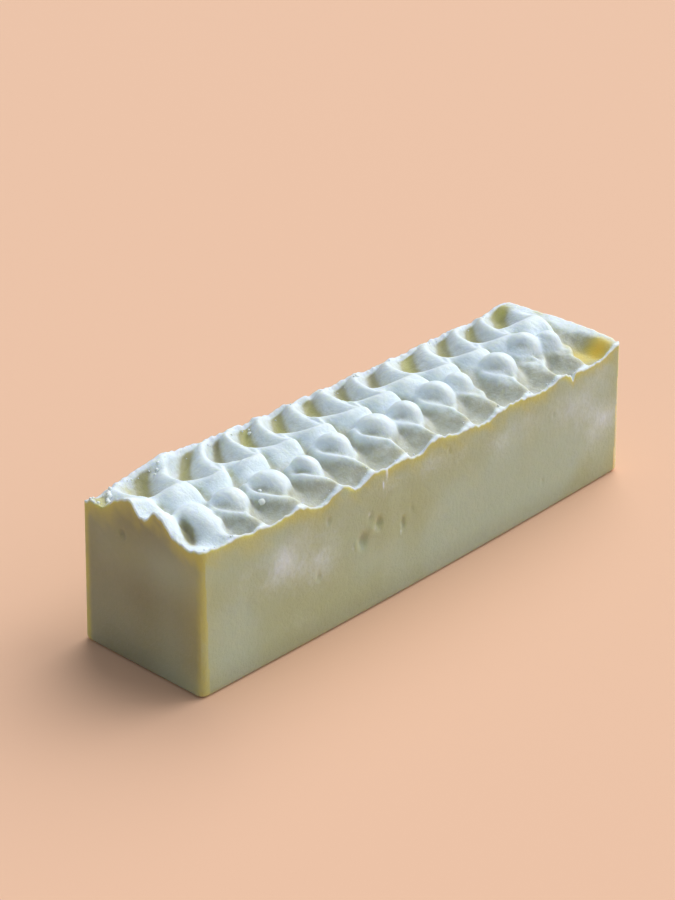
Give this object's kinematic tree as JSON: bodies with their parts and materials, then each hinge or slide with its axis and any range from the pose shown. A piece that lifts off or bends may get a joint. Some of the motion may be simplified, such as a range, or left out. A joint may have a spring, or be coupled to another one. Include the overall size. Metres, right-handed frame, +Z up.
{
  "type": "soap loaf",
  "caption": "Uncut loaf of handmade soap: a long translucent block with a spoon-swirled, ash-whitened top, resting flat.",
  "frame": {"origin": "middle of the base", "axes": "+X along the loaf, +Z up out of the worked top"},
  "size_m": [0.2538, 0.0682, 0.0691],
  "materials": {
    "soap": "satin"
  },
  "bodies": {
    "root": {"soap_loaf": "soap"}
  },
  "joints": []
}
